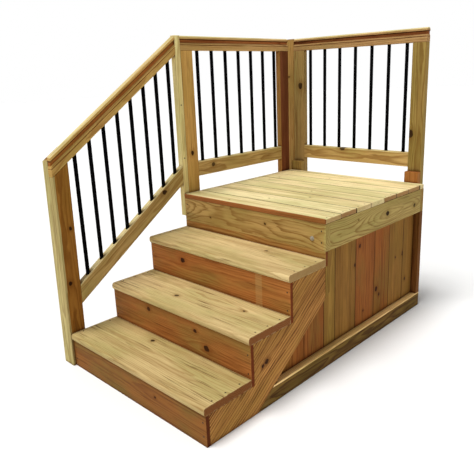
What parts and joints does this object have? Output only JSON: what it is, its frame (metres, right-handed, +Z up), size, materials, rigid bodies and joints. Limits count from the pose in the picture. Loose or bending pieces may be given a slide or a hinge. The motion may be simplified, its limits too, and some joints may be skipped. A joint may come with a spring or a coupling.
{
  "type": "spa steps",
  "caption": "Wooden spa steps: a closed flight of bullnosed treads up to a skirted square platform, with a stair railing and guard railings of round black balusters.",
  "frame": {"origin": "centre of the bottom of the bounding box, on the ground", "axes": "+Z up; +Y is the way the flight climbs; +X is to the climber's right, towards the platform's open side"},
  "size_m": [1.129, 1.953, 1.709],
  "materials": {
    "tread_wood": "planed pine, light tan",
    "riser_wood": "planed pine, red-brown",
    "deck_wood": "planed pine, pale yellow",
    "frame_wood": "treated pine, olive tan",
    "skirt_wood": "treated pine, red-brown",
    "post_wood": "treated pine, orange tan",
    "rail_wood": "treated pine, moulded",
    "baluster_black": "matte black powder coat",
    "fastener_steel": "dull galvanised"
  },
  "bodies": {
    "root": {"tread_1": "tread_wood", "tread_2": "tread_wood", "tread_3": "tread_wood", "riser_1": "riser_wood", "riser_2": "riser_wood", "riser_3": "riser_wood", "riser_4": "riser_wood", "stringer_left": "frame_wood", "stringer_right": "frame_wood", "deck": "deck_wood", "rim_front": "frame_wood", "rim_back": "frame_wood", "rim_left": "frame_wood", "rim_right": "frame_wood", "leg_left": "frame_wood", "leg_right": "frame_wood", "stud_left": "skirt_wood", "stud_right": "skirt_wood", "plate_left": "frame_wood", "plate_right": "frame_wood", "plate_back": "frame_wood", "skirt_left": "skirt_wood", "skirt_right": "skirt_wood", "newel": "post_wood", "stair_post": "post_wood", "stair_top_rail": "rail_wood", "stair_bottom_rail": "rail_wood", "stair_baluster_1": "baluster_black", "stair_baluster_2": "baluster_black", "stair_baluster_3": "baluster_black", "stair_baluster_4": "baluster_black", "stair_baluster_5": "baluster_black", "stair_baluster_6": "baluster_black", "stair_baluster_7": "baluster_black", "stair_baluster_8": "baluster_black", "side_post_front": "post_wood", "side_post_back": "post_wood", "side_top_rail": "rail_wood", "side_bottom_rail": "rail_wood", "side_baluster_1": "baluster_black", "side_baluster_2": "baluster_black", "side_baluster_3": "baluster_black", "side_baluster_4": "baluster_black", "side_baluster_5": "baluster_black", "side_baluster_6": "baluster_black", "side_baluster_7": "baluster_black", "back_post_left": "post_wood", "back_post_right": "post_wood", "corner_post": "post_wood", "block_left": "post_wood", "block_right": "post_wood", "back_top_rail": "rail_wood", "back_bottom_rail": "rail_wood", "back_baluster_1": "baluster_black", "back_baluster_2": "baluster_black", "back_baluster_3": "baluster_black", "back_baluster_4": "baluster_black", "back_baluster_5": "baluster_black", "back_baluster_6": "baluster_black", "back_baluster_7": "baluster_black"}
  },
  "joints": []
}
